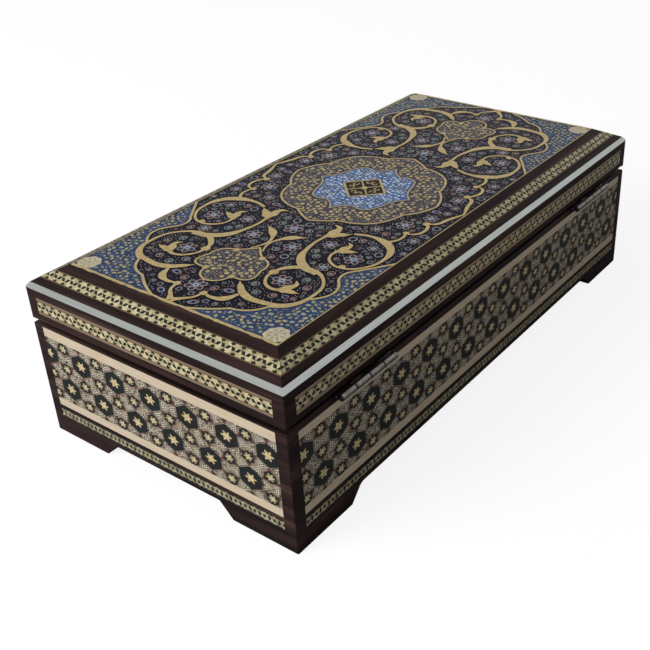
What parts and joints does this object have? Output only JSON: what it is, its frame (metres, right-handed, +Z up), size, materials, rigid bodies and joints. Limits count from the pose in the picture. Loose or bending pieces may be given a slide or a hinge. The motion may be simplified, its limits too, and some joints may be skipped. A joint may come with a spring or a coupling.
{
  "type": "khatam jewelry box",
  "caption": "Marquetry-sided wooden jewelry box on bracket feet, with a back-hinged lid that has a sloped border and a painted lacquered panel.",
  "frame": {"origin": "on the floor under the feet, below the middle of the whole box with its hinge barrels", "axes": "+X along the box, +Y towards the hinges at the back, +Z up"},
  "size_m": [0.24, 0.1234, 0.0692],
  "materials": {
    "rosewood": "dark stained wood under clear lacquer",
    "khatam": "marquetry of brass, bone and dyed wood, polished and lacquered",
    "bone": "pale strip, polished and lacquered",
    "silver": "satin",
    "lacquer": "painted panel under gloss lacquer",
    "velvet": "dark red velvet on card",
    "plywood": "plain sealed board",
    "steel": "bright zinc-plated sheet steel"
  },
  "bodies": {
    "body": {"back_base_khatam_strip": "khatam", "back_board": "rosewood", "back_khatam_panel": "khatam", "back_lower_bone_strip": "bone", "back_upper_bone_strip": "bone", "back_wall_lining": "velvet", "bottom_board": "plywood", "floor_lining": "velvet", "front_base_khatam_strip": "khatam", "front_board": "rosewood", "front_khatam_panel": "khatam", "front_lower_bone_strip": "bone", "front_upper_bone_strip": "bone", "front_wall_lining": "velvet", "left_base_khatam_strip": "khatam", "left_board": "rosewood", "left_hinge_body_leaf": "steel", "left_hinge_body_screw_1": "steel", "left_hinge_body_screw_2": "steel", "left_hinge_pin": "steel", "left_khatam_panel": "khatam", "left_lower_bone_strip": "bone", "left_upper_bone_strip": "bone", "left_wall_lining": "velvet", "right_base_khatam_strip": "khatam", "right_board": "rosewood", "right_hinge_body_leaf": "steel", "right_hinge_body_screw_1": "steel", "right_hinge_body_screw_2": "steel", "right_hinge_pin": "steel", "right_khatam_panel": "khatam", "right_lower_bone_strip": "bone", "right_upper_bone_strip": "bone", "right_wall_lining": "velvet"},
    "lid": {"back_lid_khatam_strip": "khatam", "back_lid_rail": "rosewood", "back_silver_strip": "silver", "back_slope_khatam_strip": "khatam", "front_lid_khatam_strip": "khatam", "front_lid_rail": "rosewood", "front_silver_strip": "silver", "front_slope_khatam_strip": "khatam", "left_hinge_lid_leaf": "steel", "left_hinge_lid_screw_1": "steel", "left_hinge_lid_screw_2": "steel", "left_lid_khatam_strip": "khatam", "left_lid_rail": "rosewood", "left_silver_strip": "silver", "left_slope_khatam_strip": "khatam", "lid_lining": "velvet", "painted_panel": "lacquer", "right_hinge_lid_leaf": "steel", "right_hinge_lid_screw_1": "steel", "right_hinge_lid_screw_2": "steel", "right_lid_khatam_strip": "khatam", "right_lid_rail": "rosewood", "right_silver_strip": "silver", "right_slope_khatam_strip": "khatam"}
  },
  "joints": [
    {"name": "lid_hinge", "type": "hinge", "parent": "body", "child": "lid", "pos_m": [0, 0.0604, 0.04855], "axis": [-1, 0, 0], "range_deg": [0, 180]}
  ]
}
